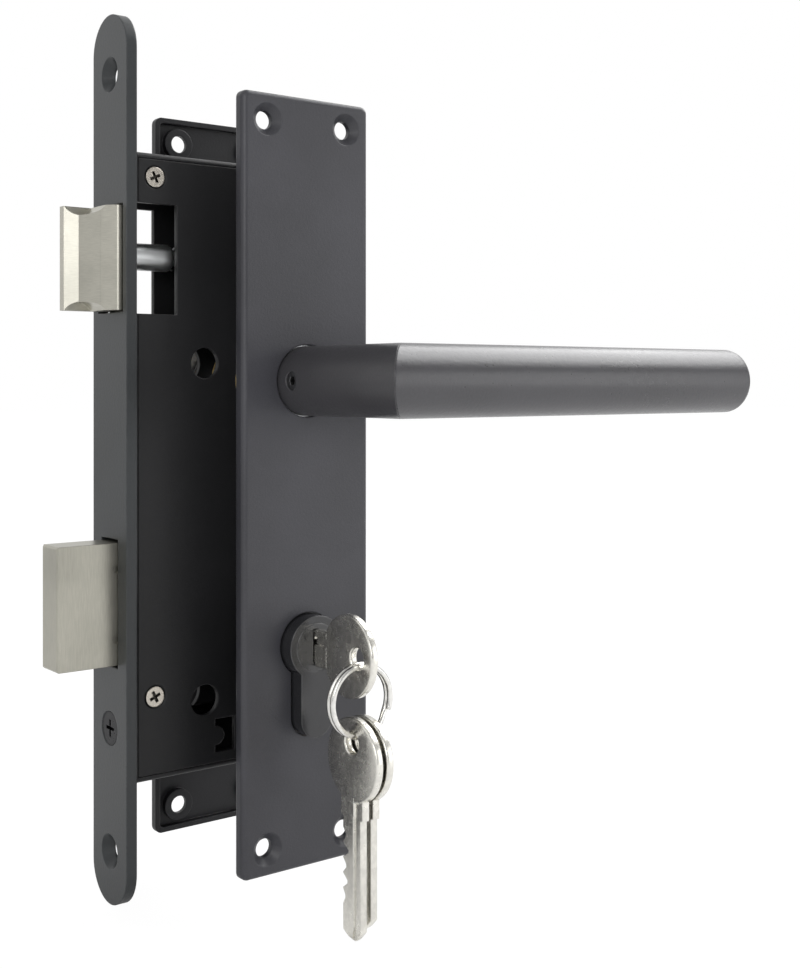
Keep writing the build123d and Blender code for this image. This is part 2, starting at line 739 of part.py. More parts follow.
# Cylinder housing with both plug bores, the cam slot and the pin chambers
chamber_y = [chamber_first + chamber_pitch * place for place in range(chamber_count)]
housing_low = cylinder_z + head_radius - profile_height
with BuildPart() as cylinder_housing:
    with BuildSketch(Plane.XZ.offset(-cylinder_half)):
        add(cylinder_section)
        with Locations((backset, cylinder_z)):
            Circle(plug_radius + slide_gap, mode=Mode.SUBTRACT)
    extrude(amount=2 * cylinder_half)
    with BuildSketch(Plane.XZ.offset(-cam_slot)):
        with Locations((backset, cylinder_z)):
            Circle(cam_radius + 0.3)
    extrude(amount=2 * cam_slot, mode=Mode.SUBTRACT)
    with BuildSketch(Plane.XY.offset(housing_low)):
        with Locations(*[(backset, y) for y in chamber_y], *[(backset, -y) for y in chamber_y]):
            Circle(chamber_radius)
    extrude(amount=cylinder_z - plug_radius + 0.5 - housing_low, mode=Mode.SUBTRACT)
    with BuildSketch(Plane.YZ.offset(backset - stem_width)):
        with Locations((0, cylinder_screw_z)):
            Circle(cylinder_screw_radius + slide_gap)
    extrude(amount=2 * stem_width, mode=Mode.SUBTRACT)
cylinder_housing.part.label = "cylinder_housing"
export_step(cylinder_housing.part, "parts/cylinder_housing.step")

# Plug with its keyway, pin chambers and clip groove
with BuildPart() as front_plug:
    with BuildSketch(Plane.XZ.offset(plug_end)):
        with Locations((backset, cylinder_z)):
            Circle(plug_radius)
    extrude(amount=cylinder_half - plug_end)
    with BuildSketch(Plane.XZ.offset(0.3)):
        with Locations((backset, cylinder_z)):
            Circle(plug_tail_radius)
    extrude(amount=plug_end - 0.3)
    with BuildSketch(Plane.XZ.offset(plug_end - 0.8)):
        with Locations((backset, cylinder_z)):
            Circle(plug_tail_radius + 1)
            Circle(plug_tail_radius - 0.25, mode=Mode.SUBTRACT)
    extrude(amount=0.8, mode=Mode.SUBTRACT)
    with Locations((backset, -(cylinder_half + keyway_end) / 2, cylinder_z)):
        Box(2 * keyway_half, cylinder_half - keyway_end, keyway_height, mode=Mode.SUBTRACT)
    with BuildSketch(Plane.XY.offset(cylinder_z - plug_radius)):
        with Locations(*[(backset, -y) for y in chamber_y]):
            Circle(chamber_radius)
    extrude(amount=plug_radius + 4.1, mode=Mode.SUBTRACT)
front_plug.part.label = "front_plug"
export_step(front_plug.part, "parts/front_plug.step")

with BuildPart() as front_plug_clip:
    with BuildSketch(Plane.XZ.offset(plug_end - 0.75)):
        with Locations((backset, cylinder_z)):
            Circle(7.4)
            Circle(plug_tail_radius - 0.2, mode=Mode.SUBTRACT)
        with Locations((backset, cylinder_z + 7)):
            Rectangle(3, 6, mode=Mode.SUBTRACT)
    extrude(amount=0.7)
front_plug_clip.part.label = "front_plug_clip"
export_step(front_plug_clip.part, "parts/front_plug_clip.step")

for front in (front_plug, front_plug_clip):
    rear = mirror(front.part, about=Plane.XZ)
    rear.label = front.part.label.replace("front", "rear")
    export_step(rear, "parts/" + rear.label + ".step")

# Cam, its nose at rest beside the stem
with BuildPart() as cam:
    with BuildSketch(Plane.XZ.offset(-cam_ring_half)):
        with Locations((backset, cylinder_z)):
            Circle(cam_ring_radius)
    extrude(amount=2 * cam_ring_half)
    with BuildSketch(Plane.XZ.offset(-cam_half)):
        with Locations((backset, cylinder_z)):
            Circle(cam_radius)
            Circle(cam_ring_radius - 0.3, mode=Mode.SUBTRACT)
        with Locations((backset - cam_radius * sin(radians(cam_rest)), cylinder_z - cam_radius * cos(radians(cam_rest)))):
            Rectangle(7, 20, rotation=-cam_rest, mode=Mode.INTERSECT)
    extrude(amount=2 * cam_half)
    with BuildSketch(Plane.XZ.offset(-cam_half)):
        with Locations((backset, cylinder_z)):
            Circle(plug_tail_radius + 0.06)
    extrude(amount=2 * cam_half, mode=Mode.SUBTRACT)
cam.part.label = "cam"
export_step(cam.part, "parts/cam.step")

# Pins: on the key side the plug's pins end at the shear line, on the other side the drivers cross it
with BuildPart() as key_pins_front:
    with BuildSketch(Plane.XY.offset(cylinder_z - 6.3)):
        with Locations(*[(backset, -y) for y in chamber_y]):
            Circle(pin_radius)
    extrude(amount=1.85)
key_pins_front.part.label = "key_pins_front"
export_step(key_pins_front.part, "parts/key_pins_front.step")

with BuildPart() as driver_pins_front:
    with BuildSketch(Plane.XY.offset(cylinder_z - 10.65)):
        with Locations(*[(backset, -y) for y in chamber_y]):
            Circle(pin_radius)
    extrude(amount=4.0)
driver_pins_front.part.label = "driver_pins_front"
export_step(driver_pins_front.part, "parts/driver_pins_front.step")

with BuildPart() as key_pins_rear:
    with BuildSketch(Plane.XY.offset(cylinder_z - 1.5)):
        with Locations(*[(backset, y) for y in chamber_y]):
            Circle(pin_radius)
    extrude(amount=5.5)
key_pins_rear.part.label = "key_pins_rear"
export_step(key_pins_rear.part, "parts/key_pins_rear.step")

with BuildPart() as driver_pins_rear:
    with BuildSketch(Plane.XY.offset(cylinder_z - 7.6)):
        with Locations(*[(backset, y) for y in chamber_y]):
            Circle(pin_radius)
    extrude(amount=6.0)
driver_pins_rear.part.label = "driver_pins_rear"
export_step(driver_pins_rear.part, "parts/driver_pins_rear.step")

# Pin springs and the plugs that close the chambers
spring_low = cylinder_z - 20.9
front_coil = coil(1.0, 0.22, 10.15, 6)
pin_springs_front = Compound([Pos(backset, -y, spring_low) * front_coil for y in chamber_y])
pin_springs_front.label = "pin_springs_front"
export_step(pin_springs_front, "parts/pin_springs_front.step")

rear_coil = coil(1.0, 0.22, 13.2, 6)
pin_springs_rear = Compound([Pos(backset, y, spring_low) * rear_coil for y in chamber_y])
pin_springs_rear.label = "pin_springs_rear"
export_step(pin_springs_rear, "parts/pin_springs_rear.step")

with BuildPart() as chamber_plugs:
    with BuildSketch(Plane.XY.offset(spring_low - 3.0)):
        with Locations(*[(backset, y) for y in chamber_y], *[(backset, -y) for y in chamber_y]):
            Circle(chamber_radius - 0.02)
    extrude(amount=2.9)
chamber_plugs.part.label = "chamber_plugs"
export_step(chamber_plugs.part, "parts/chamber_plugs.step")

# Screw from the forend into the cylinder
with BuildPart() as cylinder_screw:
    with BuildSketch(Plane.YZ.offset(0.15)):
        with Locations((0, cylinder_screw_z)):
            Circle(4.55)
    extrude(amount=2.1, taper=45)
    with BuildSketch(Plane.YZ.offset(1.5)):
        with Locations((0, cylinder_screw_z)):
            Circle(cylinder_screw_radius)
    extrude(amount=48)
    with Locations((0.15, 0, cylinder_screw_z)):
        Box(2, 4.6, 0.9, mode=Mode.SUBTRACT)
        Box(2, 0.9, 4.6, mode=Mode.SUBTRACT)
cylinder_screw.part.label = "cylinder_screw"
export_step(cylinder_screw.part, "parts/cylinder_screw.step")

# Key in the plug
key_in_plug = Pos(backset, bow_y, cylinder_z) * key_blank(key_length)
key_in_plug.label = "key_in_plug"
export_step(key_in_plug, "parts/key_in_plug.step")

# Split ring of two turns, hanging in the key's hole
ring_y = bow_y - key_hole_offset
ring_z = cylinder_z - hang - ring_radius
with BuildPart() as key_ring:
    with BuildSketch(Plane.XY.offset(ring_z)):
        with Locations((backset + ring_radius, ring_y - ring_pitch / 2), (backset + ring_radius, ring_y + ring_pitch / 2)):
            Circle(ring_wire)
    revolve(axis=Axis((backset, ring_y, ring_z), (0, 1, 0)))
    with Locations((backset - ring_radius * sin(1.0), ring_y - 1, ring_z + ring_radius * cos(1.0))):
        Box(0.5, 2, 4, rotation=(0, 30, 0), mode=Mode.SUBTRACT)
key_ring.part.label = "key_ring"
export_step(key_ring.part, "parts/key_ring.step")

# Two spare keys on the ring's lowest point
spare_z = ring_z - sqrt(ring_radius ** 2 - (spare_spacing / 2) ** 2) - hang - key_hole_offset
stand = Rot(0, 0, 180) * Rot(-90, 0, 0)
hanging_key_front = Pos(backset - spare_spacing / 2, ring_y, spare_z) * stand * key_blank(key_length + spare_extra)
hanging_key_front.label = "hanging_key_front"
export_step(hanging_key_front, "parts/hanging_key_front.step")

hanging_key_back = Pos(backset + spare_spacing / 2, ring_y, spare_z) * stand * key_blank(key_length)
hanging_key_back.label = "hanging_key_back"
export_step(hanging_key_back, "parts/hanging_key_back.step")
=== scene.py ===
import bpy
import numpy as np
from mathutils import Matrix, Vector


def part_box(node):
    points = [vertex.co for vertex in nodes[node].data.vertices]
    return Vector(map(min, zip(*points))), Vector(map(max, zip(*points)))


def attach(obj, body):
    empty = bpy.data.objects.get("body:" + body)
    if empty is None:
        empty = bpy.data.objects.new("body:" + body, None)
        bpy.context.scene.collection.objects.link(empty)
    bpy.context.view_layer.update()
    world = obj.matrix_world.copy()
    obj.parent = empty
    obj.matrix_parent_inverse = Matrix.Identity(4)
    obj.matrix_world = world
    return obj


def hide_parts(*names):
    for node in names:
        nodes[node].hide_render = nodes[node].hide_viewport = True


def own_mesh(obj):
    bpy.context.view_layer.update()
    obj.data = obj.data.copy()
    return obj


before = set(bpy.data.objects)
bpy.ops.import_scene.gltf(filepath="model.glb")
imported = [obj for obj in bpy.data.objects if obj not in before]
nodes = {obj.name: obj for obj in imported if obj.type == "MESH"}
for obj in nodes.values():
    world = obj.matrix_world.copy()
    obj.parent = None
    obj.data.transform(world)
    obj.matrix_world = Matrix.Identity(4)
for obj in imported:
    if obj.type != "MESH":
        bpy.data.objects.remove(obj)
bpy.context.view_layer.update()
bpy.context.scene.view_settings.view_transform = "Standard"


# The photographer's table: a plain white card just under the keys in a white room, one large soft lamp high
# behind the lock on the right, a smaller one above and behind the camera and one on the right, and a camera
# level with the handle.
class Socket:
    """A shader socket. Arithmetic on it adds Math nodes, and node() adds any other node."""

    def __init__(self, tree, socket=None):
        self.tree = tree
        self.socket = socket

    def node(self, kind, settings, inputs, output=0):
        """Adds a node: its settings first, then the value or link of each input. Returns one of its outputs."""
        made = self.tree.nodes.new(kind)
        for name, value in settings.items():
            setattr(made, name, value)
        for name, value in inputs.items():
            if isinstance(value, Socket):
                self.tree.links.new(value.socket, made.inputs[name])
            else:
                made.inputs[name].default_value = value
        return Socket(self.tree, made.outputs[output])

    def maths(self, operation, first, second):
        """Adds a Math node of that operation on two sockets or numbers."""
        return self.node("ShaderNodeMath", {"operation": operation}, {0: first, 1: second})

    def __add__(self, other):
        return self.maths("ADD", self, other)

    def __sub__(self, other):
        return self.maths("SUBTRACT", self, other)

    def __rsub__(self, other):
        return self.maths("SUBTRACT", other, self)

    def __mul__(self, other):
        return self.maths("MULTIPLY", self, other)

    __radd__ = __add__
    __rmul__ = __mul__

    def rise(self, low, high):
        """A mask that goes smoothly from 0 where this is low to 1 where it is high."""
        ends = {"Value": self, "From Min": low, "From Max": high}
        return self.node("ShaderNodeMapRange", {"interpolation_type": "SMOOTHSTEP"}, ends)

    def colour(self, first, second):
        """The colour first where this is 0 and second where it is 1."""
        return self.node("ShaderNodeMix", {"data_type": "RGBA"}, {0: self, 6: first, 7: second}, 2)


white = (1.0, 1.0, 1.0, 1.0)
card_white = (0.9, 0.9, 0.9, 1.0)
card_glow = 1.08
glow_share = 0.86
card_half = 6.0
card_gap = 0.0004
ambient = 0.62

world = bpy.data.worlds.new("room")
world.use_nodes = True
bpy.context.scene.world = world
room = Socket(world.node_tree)
backdrop = world.node_tree.nodes["Background"]
seen = room.node("ShaderNodeLightPath", {}, {}, "Is Camera Ray")
mirrored = room.node("ShaderNodeLightPath", {}, {}, "Is Glossy Ray")
direction = room.node("ShaderNodeTexCoord", {}, {}, "Generated")
reflected = 0.45 + room.node("ShaderNodeSeparateXYZ", {}, {0: direction}, "Y").rise(-0.9, 0.7) * 0.5
strength = (1 - seen) * (1 - mirrored) * ambient + (1 - seen) * mirrored * reflected + seen
world.node_tree.links.new(strength.socket, backdrop.inputs["Strength"])
backdrop.inputs["Color"].default_value = white

floor_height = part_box("hanging_key_front")[0].z - card_gap
corners = np.array([(-1, -1, 0), (1, -1, 0), (1, 1, 0), (-1, 1, 0)]) * card_half + (0, 0, floor_height)
mesh = bpy.data.meshes.new("sweep")
mesh.from_pydata(corners.tolist(), [], [(0, 1, 2, 3)])
sweep = bpy.data.objects.new("sweep", mesh)
bpy.context.collection.objects.link(sweep)
card = bpy.data.materials.new("white_card")
card.use_nodes = True
tree = Socket(card.node_tree)
seen = tree.node("ShaderNodeLightPath", {}, {}, "Is Camera Ray")
pale = tree.node("ShaderNodeBsdfDiffuse", {}, {"Color": card_white})
plain = tree.node("ShaderNodeEmission", {}, {"Color": white, "Strength": card_glow})
shown = tree.node("ShaderNodeMixShader", {}, {0: seen * glow_share, 1: pale, 2: plain})
card.node_tree.links.new(shown.socket, card.node_tree.nodes["Material Output"].inputs["Surface"])
mesh.materials.append(card)


def lamp(name, place, aim, width, height, power):
    """A rectangular soft lamp at that place that faces the aim."""
    light = bpy.data.lights.new(name, "AREA")
    light.shape = "RECTANGLE"
    light.size = width
    light.size_y = height
    light.energy = power
    holder = bpy.data.objects.new(name, light)
    holder.location = place
    holder.rotation_euler = (Vector(aim) - Vector(place)).to_track_quat("-Z", "Y").to_euler()
    bpy.context.collection.objects.link(holder)


lamp("top_light", place=(0.8, -0.03, 0.77), aim=(0.06, -0.03, 0.0), width=1.0, height=0.6, power=8.0)
lamp("front_light", place=(-0.55, -0.8, 0.35), aim=(0.04, -0.02, 0.0), width=0.6, height=0.6, power=3.0)
lamp("side_light", place=(0.74, -0.76, 0.02), aim=(0.05, -0.05, -0.05), width=0.45, height=0.7, power=1.7)

camera = bpy.data.objects.new("camera", bpy.data.cameras.new("camera"))
camera.location = (-0.1595, -0.3334, 0.02172)
camera.rotation_euler = np.radians((90.0, 0.0, -37.71))
camera.data.lens = 50.13
camera.data.sensor_width = 36.0
camera.data.shift_y = -0.1058
camera.data.clip_start = 0.01
bpy.context.collection.objects.link(camera)
bpy.context.scene.camera = camera


def scatter(place, size, detail):
    """Noise with spots of about that size, in metres."""
    return place.node("ShaderNodeTexNoise", {}, {"Vector": place, "Scale": 1 / size, "Detail": detail})


def finish(name, colour):
    """A new material of that colour, its main shader and its object coordinates."""
    material = bpy.data.materials.new(name)
    material.use_nodes = True
    shader = material.node_tree.nodes["Principled BSDF"]
    shader.inputs["Base Color"].default_value = (*colour, 1.0)
    root = Socket(material.node_tree)
    return material, shader, root.node("ShaderNodeTexCoord", {}, {}, "Object")


def feed(shader, name, socket):
    """Links the socket to that input of the shader."""
    shader.id_data.links.new(socket.socket, shader.inputs[name])


def rim(place, width):
    """The normal rounded over that width, and a mask of the piece's edges: how far its true normal is from it."""
    rounded = place.node("ShaderNodeBevel", {"samples": 6}, {"Radius": width})
    true = place.node("ShaderNodeNewGeometry", {}, {}, "Normal")
    along = place.node("ShaderNodeVectorMath", {"operation": "DOT_PRODUCT"}, {0: rounded, 1: true}, "Value")
    return rounded, 1 - along


def powder_coat(name, colour, peel, rough, shine, rub_and_highlight=0.03, relief=0.11):
    """Baked powder: orange peel of that size, slow drifts of shade, and a smoother line where edges rub, paler
    there as wear and as a painted highlight. The peel's height is its size times relief, and shine is the strength
    of the mirrored light."""
    material, shader, place = finish(name, colour)
    rounded, edge = rim(place, width=0.0005)
    cloud = scatter(place, size=0.035, detail=3.0)
    grain = scatter(place, size=peel, detail=2.0)
    speck = scatter(place, size=peel * 0.3, detail=1.0)
    patches = scatter(place, size=0.004, detail=3.0).rise(0.35, 0.65)
    # Edge line: smoother and paler from wear, and paler still as a painted highlight.
    rubbed_and_highlit = edge.rise(0.02, 0.25) * (0.35 + 0.65 * patches)
    dark = [shade * 0.76 for shade in colour] + [1.0]
    pale = [shade * 1.24 for shade in colour] + [1.0]
    worn_and_highlight = [shade * 1.5 + rub_and_highlight for shade in colour] + [1.0]
    coat = (cloud.rise(0.3, 0.7) * 0.6 + speck.rise(0.3, 0.7) * 0.4).colour(dark, pale)
    feed(shader, "Base Color", (rubbed_and_highlit * 0.6).colour(coat, worn_and_highlight))
    feed(shader, "Roughness", rough + (grain - 0.5) * 0.16 + (cloud - 0.5) * 0.08 - rubbed_and_highlit * 0.08)
    shader.inputs["Specular IOR Level"].default_value = shine
    height = grain * 0.7 + speck * 0.3
    bumps = {"Strength": 0.6, "Distance": peel * relief, "Height": height, "Normal": rounded}
    feed(shader, "Normal", place.node("ShaderNodeBump", {}, bumps))
    return material


def metal(name, colour, rough, lines, wear_and_highlight, face=None):
    """Bare or plated metal: fine lines left by the tool or the brush, so many to the metre along x, y and z, and
    paler edges, partly from wear and partly a painted highlight. Where the y of a screw's face is given, the slot
    behind it is painted near black as painted shade."""
    line_depth = 0.00003
    painted_slot_shade = [0.01, 0.009, 0.008, 1.0]
    material, shader, place = finish(name, colour)
    rounded, edge = rim(place, width=0.0003)
    stretched = place.node("ShaderNodeVectorMath", {"operation": "MULTIPLY"}, {0: place, 1: lines})
    brushed = stretched.node("ShaderNodeTexNoise", {}, {"Vector": stretched, "Scale": 1.0, "Detail": 3.0})
    cloud = scatter(place, size=0.012, detail=3.0)
    spots = scatter(place, size=0.0011, detail=2.0)
    dark = [shade * 0.84 for shade in colour] + [1.0]
    pale = [min(shade * 1.08, 1.0) for shade in colour] + [1.0]
    bright_edge_and_highlight = [min(shade * 1.2 + 0.03, 1.0) for shade in colour] + [1.0]
    tone = (cloud.rise(0.3, 0.7) * 0.5 + brushed.rise(0.35, 0.65) * 0.5).colour(dark, pale)
    # Paler edges: partly wear and partly a painted highlight.
    shade = (edge.rise(0.02, 0.25) * wear_and_highlight).colour(tone, bright_edge_and_highlight)
    if face is not None:
        # Painted shade: behind the screw's face the slot is darkened to near black.
        depth = place.node("ShaderNodeSeparateXYZ", {}, {0: place}, "Y")
        shade = (depth.rise(face + 0.0001, face + 0.0003) * 0.94).colour(shade, painted_slot_shade)
    feed(shader, "Base Color", shade)
    feed(shader, "Roughness", rough + (brushed - 0.5) * 0.14 + (spots - 0.5) * 0.08 + (cloud - 0.5) * 0.08)
    shader.inputs["Metallic"].default_value = 1.0
    bumps = {"Strength": 0.3, "Distance": line_depth, "Height": brushed, "Normal": rounded}
    feed(shader, "Normal", place.node("ShaderNodeBump", {}, bumps))
    return material


def dress(material, *names):
    """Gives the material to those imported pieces."""
    for name in names:
        slots = nodes[name].data.materials
        for place in range(len(slots)):
            slots[place] = material


case_powder = powder_coat("case_powder", (0.011, 0.011, 0.012), peel=0.0007, rough=0.42, shine=0.32)
dress(case_powder, "case_body", "case_cover")
screw_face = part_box("case_screws")[0].y
screw_nickel = metal("case_screw_nickel", (0.56, 0.52, 0.46), rough=0.26, lines=(2500, 2500, 2500), wear_and_highlight=0.5,
                     face=screw_face)
dress(screw_nickel, "case_screws")
pillar_zinc = metal("pillar_zinc", (0.62, 0.63, 0.64), rough=0.34, lines=(300, 4000, 300), wear_and_highlight=0.4)
dress(pillar_zinc, "case_pillars", "latch_guide", "bolt_guide_pin", "lock_lever_stump")


# The latch: a cast head in brushed satin nickel, sloped and hollowed towards the door frame, on a turned
# zinc-plated rod with a lifting plate at its end, pushed out by a coil spring.
latch_nickel = metal("latch_nickel", (0.5, 0.486, 0.425), rough=0.33, lines=(500, 500, 9000), wear_and_highlight=0.6)
dress(latch_nickel, "latch_head")
rod_zinc = metal("rod_zinc", (0.88, 0.9, 0.9), rough=0.36, lines=(60, 900, 900), wear_and_highlight=0.4)
dress(rod_zinc, "latch_tail_rod", "latch_tail_plate")


# The deadbolt: a sawn and brushed nickel-plated bar with two dimples in its side, riveted to a flat zinc-plated
# tail that slides on the guide pin.
bolt_nickel = metal("bolt_nickel", (0.44, 0.427, 0.37), rough=0.36, lines=(7000, 7000, 260), wear_and_highlight=0.6)
dress(bolt_nickel, "deadbolt_head")
tail_zinc = metal("tail_zinc", (0.6, 0.61, 0.62), rough=0.38, lines=(300, 300, 5000), wear_and_highlight=0.4)
dress(tail_zinc, "deadbolt_tail", "deadbolt_rivets", "bolt_stump")


# Inside the case: the lock lever that blocks the deadbolt, and the follower that the handles turn, stamped and
# cast in steel and zinc plated. The follower runs in two turned brass bushes, and the square spindle is drawn
# steel with the same plating.
lever_zinc = metal("lever_zinc", (0.58, 0.58, 0.56), rough=0.4, lines=(5000, 300, 300), wear_and_highlight=0.5)
dress(lever_zinc, "lock_lever")
follower_zinc = metal("follower_zinc", (0.55, 0.56, 0.57), rough=0.42, lines=(1200, 1200, 1200), wear_and_highlight=0.5)
dress(follower_zinc, "follower", "spindle")
bush_brass = metal("bush_brass", (0.7, 0.52, 0.24), rough=0.32, lines=(900, 5000, 900), wear_and_highlight=0.5)
dress(bush_brass, "follower_bushes")


# The forend: a 3 mm steel strip with round ends, stamped, countersunk and powder coated in the case's paint, given
# a paler colour here as painted light, and the M5 screw with a cross slot that goes through it into the cylinder.
forend_lit_powder = powder_coat("forend_lit_powder", (0.022, 0.025, 0.027), peel=0.0006, rough=0.36, shine=0.5, rub_and_highlight=0.07)
dress(forend_lit_powder, "forend")
# Painted shade: the screw's steel is coloured near black, standing in for the shade in the forend's hole.
cylinder_screw_shaded_steel = metal("cylinder_screw_shaded_steel", (0.018, 0.018, 0.02), rough=0.3, lines=(1800, 1800, 1800),
                             wear_and_highlight=0.3)
dress(cylinder_screw_shaded_steel, "cylinder_screw")


# The profile cylinder: a brass body and plugs in satin black plating, brass pins under steel springs, and a
# steel cam between the two plugs.
cylinder_black = powder_coat("cylinder_black", (0.017, 0.017, 0.019), peel=0.0007, rough=0.2, shine=0.7,
                             rub_and_highlight=0.16, relief=0.012)
dress(cylinder_black, "cylinder_housing")
plug_black = powder_coat("plug_black", (0.022, 0.022, 0.023), peel=0.0006, rough=0.16, shine=0.8,
                         rub_and_highlight=0.2, relief=0.012)
dress(plug_black, "front_plug", "rear_plug")
cam_steel = metal("cam_steel", (0.5, 0.5, 0.49), rough=0.36, lines=(800, 4000, 800), wear_and_highlight=0.5)
dress(cam_steel, "cam", "front_plug_clip", "rear_plug_clip")
pin_brass = metal("pin_brass", (0.72, 0.54, 0.26), rough=0.28, lines=(600, 600, 5000), wear_and_highlight=0.4)
dress(pin_brass, "key_pins_front", "key_pins_rear", "driver_pins_front", "driver_pins_rear", "chamber_plugs")
pin_spring_wire = metal("pin_spring_wire", (0.55, 0.5, 0.4), rough=0.28, lines=(1500, 1500, 1500), wear_and_highlight=0.3)
dress(pin_spring_wire, "pin_springs_front", "pin_springs_rear")


# The two long plates: pressed steel pans with rounded rims and dimpled screw holes, powder coated, with a turned
# bush welded behind each for its handle.
front_plate_powder = powder_coat("front_plate_powder", (0.039, 0.039, 0.046), peel=0.0008, rough=0.4, shine=0.5,
                                 rub_and_highlight=0.05)
dress(front_plate_powder, "front_plate")
# Painted shade: the rear plate has the front plate's paint, coloured darker here.
rear_plate_shaded_powder = powder_coat("rear_plate_shaded_powder", (0.012, 0.012, 0.014), peel=0.0008, rough=0.4, shine=0.35,
                                rub_and_highlight=0.03)
dress(rear_plate_shaded_powder, "rear_plate")
bush_zinc = metal("bush_zinc", (0.6, 0.61, 0.62), rough=0.36, lines=(900, 4000, 900), wear_and_highlight=0.4)
dress(bush_zinc, "front_plate_bush", "rear_plate_bush")


# The handles: round steel tube cut at 45 degrees and welded to its neck, ground, then powder coated. A
# socket-head grub screw clamps each neck on the spindle, and a circlip holds it in the plate's bush.
lever_powder = powder_coat("lever_powder", (0.03, 0.029, 0.034), peel=0.0009, rough=0.31, shine=0.75)
dress(lever_powder, "front_lever", "rear_lever")
# Painted light: the neck has the lever's paint, coloured paler here than the lever.
neck_lit_powder = powder_coat("neck_lit_powder", (0.043, 0.042, 0.046), peel=0.0009, rough=0.36, shine=0.5, rub_and_highlight=0.05)
dress(neck_lit_powder, "front_neck", "rear_neck")
grub_steel = metal("grub_black_steel", (0.16, 0.16, 0.165), rough=0.34, lines=(1500, 1500, 1500), wear_and_highlight=0.7)
dress(grub_steel, "front_grub_screw", "rear_grub_screw")
circlip_steel = metal("circlip_steel", (0.34, 0.34, 0.35), rough=0.34, lines=(1500, 1500, 1500), wear_and_highlight=0.5)
dress(circlip_steel, "front_circlip", "rear_circlip")


# The keys: brass stampings in bright nickel, with a round bow, its rim rolled smooth, one milled groove in each
# side of the blade and five cuts. One stands in the plug and two spare ones hang from it on the ring.
def skin(name, shells):
    """Mesh of closed shells. A shell is a grid of points whose columns close into rings. Its rows close too where
    loop is true, and otherwise each end ring is filled to its middle point. Faces are turned outwards by the sign
    of the shell's volume, the sum of the triple products of its faces' corners."""
    points, faces, count = [], [], 0
    for grid, loop in shells:
        rows, columns = grid.shape[:2]
        row = np.arange(rows if loop else rows - 1)[:, None] * columns
        up = (row + columns) % (rows * columns)
        column = np.arange(columns)[None, :]
        turn = (column + 1) % columns
        quads = np.stack((row + column, row + turn, up + turn, up + column), axis=-1).reshape(-1, 4)
        flat = grid.reshape(-1, 3)
        a, b, c, d = (flat[quads[:, corner]] for corner in range(4))
        volume = (np.cross(a, b) * c).sum() + (np.cross(a, c) * d).sum()
        parts = [quads]
        if not loop:
            ends = np.stack((grid[0].mean(axis=0), grid[-1].mean(axis=0)))
            near = np.stack((turn[0], column[0], np.full(columns, rows * columns)), axis=-1)
            last = (rows - 1) * columns
            far = np.stack((last + column[0], last + turn[0], np.full(columns, rows * columns + 1)), axis=-1)
            flat = np.vstack((flat, ends))
            parts += [near, far]
        for part in parts:
            outward = part if volume > 0 else part[:, ::-1]
            faces += (outward + count).tolist()
        points.append(flat)
        count += len(flat)
    mesh = bpy.data.meshes.new(name)
    mesh.from_pydata(np.vstack(points).tolist(), [], faces)
    mesh.shade_smooth()
    mesh.set_sharp_from_angle(angle=np.radians(32.0))
    piece = bpy.data.objects.new(name, mesh)
    bpy.context.collection.objects.link(piece)
    return piece


def corners_round(half_wide, half_thick, radius, steps):
    """Rounded rectangle as one closed line: each corner's centre plus the radius, in the directions of a quarter
    turn."""
    angle = np.concatenate([np.linspace(0, np.pi / 2, steps) + quarter * np.pi / 2 for quarter in range(4)])
    side = np.repeat([(1, 1), (-1, 1), (-1, -1), (1, -1)], steps, axis=0)
    across = side[:, 0] * (half_wide - radius) + radius * np.cos(angle)
    through = side[:, 1] * (half_thick - radius) + radius * np.sin(angle)
    return across, through


key_thick = 0.0022
bow_radius = 0.011
hole_radius = 0.00285
hole_shift = 0.00445
rim_round = 0.0005
collar_half = 0.005
collar_slope = 0.0002
collar_end = 0.0149
blade_half = 0.004
blade_start = 0.0095
blade_inset = 0.00003
blade_edge = 0.00025
groove_levels = (0.0007, 0.00085, 0.00235, 0.0025)
groove_depth = 0.00045
cut_outline = np.array((-0.0019, -0.0004, 0.0004, 0.0019))
cut_places = (0.0358, 0.0318, 0.0278, 0.0238, 0.0198)
cut_depths = (0.001, 0.002, 0.0014, 0.0024, 0.0012)
tip_steps = np.array((0.003, 0.002, 0.0004, 0.0))
tip_top = (0.0014, 0.0008)
tip_base = (0.0006, 0.0)
tip_thinned = 0.0008
tip_thickness = 0.35
key_length = 0.04405
long_key_length = 0.0465
hole_height = -0.0758


def key_bow():
    """Plate between the bow's circle and the smaller circle of its hole. In each direction from the hole's centre
    the section is a rounded rectangle whose ends lie on the two circles."""
    angle = np.linspace(0, 2 * np.pi, 120, endpoint=False)[:, None]
    reach = hole_shift * np.cos(angle)
    outer = reach + np.sqrt(reach ** 2 - hole_shift ** 2 + bow_radius ** 2)
    half = (outer - hole_radius) / 2
    across, through = corners_round(half, key_thick / 2, rim_round, 7)
    out = (outer + hole_radius) / 2 + across
    along = -hole_shift + out * np.cos(angle)
    up = out * np.sin(angle)
    return np.stack((through + 0 * out, along, up), axis=-1)


